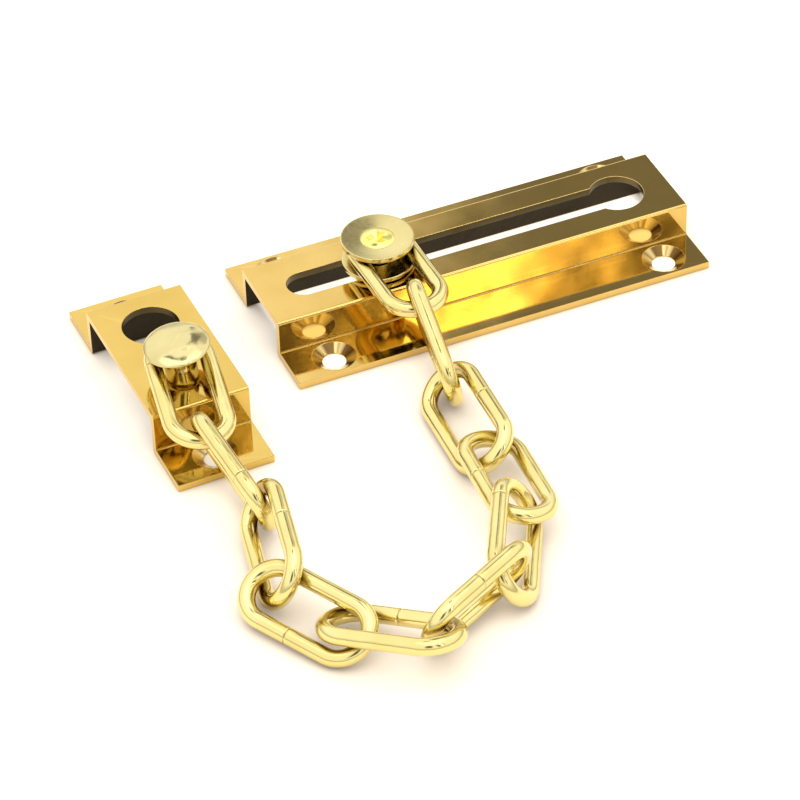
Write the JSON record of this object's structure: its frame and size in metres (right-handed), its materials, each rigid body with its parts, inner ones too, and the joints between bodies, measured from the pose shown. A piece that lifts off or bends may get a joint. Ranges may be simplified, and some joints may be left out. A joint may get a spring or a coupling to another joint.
{
  "type": "door chain guard",
  "caption": "Brass door chain guard: slotted track plate with a keyhole and sliding knob, an oval-link chain and a keeper plate whose stud holds the chain's free end.",
  "frame": {"origin": "centre of the overall bounding box in plan, at the level of the flanges' undersides (the door face, here the floor)", "axes": "+X along the track plate towards its keyhole, +Y from the chain's bight towards the plates, +Z out of the door face"},
  "size_m": [0.1526, 0.1575, 0.0244],
  "materials": {
    "track": "polished",
    "keeper": "polished",
    "chain": "polished",
    "stud": "polished",
    "pin": "satin",
    "collar": "polished",
    "knob": "polished",
    "screw": "polished"
  },
  "bodies": {
    "track": {"track_plate": "track"},
    "slider": {"slider_pin": "pin", "slider_collar": "collar", "slider_knob": "knob", "slider_screw": "screw"},
    "link_11": {"link_11": "chain"},
    "link_10": {"link_10": "chain"},
    "link_09": {"link_09": "chain"},
    "link_08": {"link_08": "chain"},
    "link_07": {"link_07": "chain"},
    "link_06": {"link_06": "chain"},
    "link_05": {"link_05": "chain"},
    "link_04": {"link_04": "chain"},
    "link_03": {"link_03": "chain"},
    "link_02": {"link_02": "chain"},
    "link_01": {"link_01": "chain"},
    "keeper": {"keeper_plate": "keeper", "keeper_stud": "stud"}
  },
  "joints": [
    {"name": "slider_slide", "type": "slide", "parent": "track", "child": "slider", "axis": [1, 0, 0], "range_m": [-0.0205, 0.0649]},
    {"name": "link_11_hinge", "type": "hinge", "parent": "slider", "child": "link_11", "pos_m": [-0.0023, 0.0536, 0.0149], "axis": [0, 0, 1], "range_deg": [-40, 32]},
    {"name": "link_10_hinge", "type": "hinge", "parent": "link_11", "child": "link_10", "pos_m": [-0.0003, 0.035, 0.0141], "axis": [0, 0, 1], "range_deg": [-29, 10]},
    {"name": "link_09_hinge", "type": "hinge", "parent": "link_10", "child": "link_09", "pos_m": [-0.0041, 0.0095, 0.0085], "axis": [0, 0, 1], "range_deg": [-13, 35]},
    {"name": "link_08_hinge", "type": "hinge", "parent": "link_09", "child": "link_08", "pos_m": [-0.006, -0.019, 0.0067], "axis": [0, 0, 1], "range_deg": [-8, 26]},
    {"name": "link_07_hinge", "type": "hinge", "parent": "link_08", "child": "link_07", "pos_m": [-0.0059, -0.0368, 0.0078], "axis": [0, 0, 1], "range_deg": [-8, 24.5]},
    {"name": "link_06_hinge", "type": "hinge", "parent": "link_07", "child": "link_06", "pos_m": [-0.0188, -0.0597, 0.0095], "axis": [0, 0, 1], "range_deg": [-5, 24]},
    {"name": "link_05_hinge", "type": "hinge", "parent": "link_06", "child": "link_05", "pos_m": [-0.0429, -0.0693, 0.0077], "axis": [0, 0, 1], "range_deg": [-8.5, 26]},
    {"name": "link_04_hinge", "type": "hinge", "parent": "link_05", "child": "link_04", "pos_m": [-0.0593, -0.0601, 0.0052], "axis": [0, 0, -1], "range_deg": [-27, 5]},
    {"name": "link_03_hinge", "type": "hinge", "parent": "link_04", "child": "link_03", "pos_m": [-0.0675, -0.0405, 0.0058], "axis": [0, 0, 1], "range_deg": [-6, 6]},
    {"name": "link_02_hinge", "type": "hinge", "parent": "link_03", "child": "link_02", "pos_m": [-0.0607, -0.0152, 0.0088], "axis": [0, 0, 1], "range_deg": [-8, 9]},
    {"name": "link_01_hinge", "type": "hinge", "parent": "link_02", "child": "link_01", "pos_m": [-0.0647, 0.014, 0.0139], "axis": [0, 0, 1], "range_deg": [-21.5, 7.5]},
    {"name": "keeper_hinge", "type": "hinge", "parent": "link_01", "child": "keeper", "pos_m": [-0.062, 0.0311, 0.0125], "axis": [0, 0, 1], "range_deg": [-18, 60]}
  ],
  "couplings": [
    {"joint": "link_10_hinge", "follows": "slider_slide", "rad_per_m": -7.503},
    {"joint": "link_07_hinge", "follows": "slider_slide", "rad_per_m": 6.347},
    {"joint": "link_05_hinge", "follows": "slider_slide", "rad_per_m": 6.777},
    {"joint": "link_01_hinge", "follows": "slider_slide", "rad_per_m": -5.585}
  ]
}
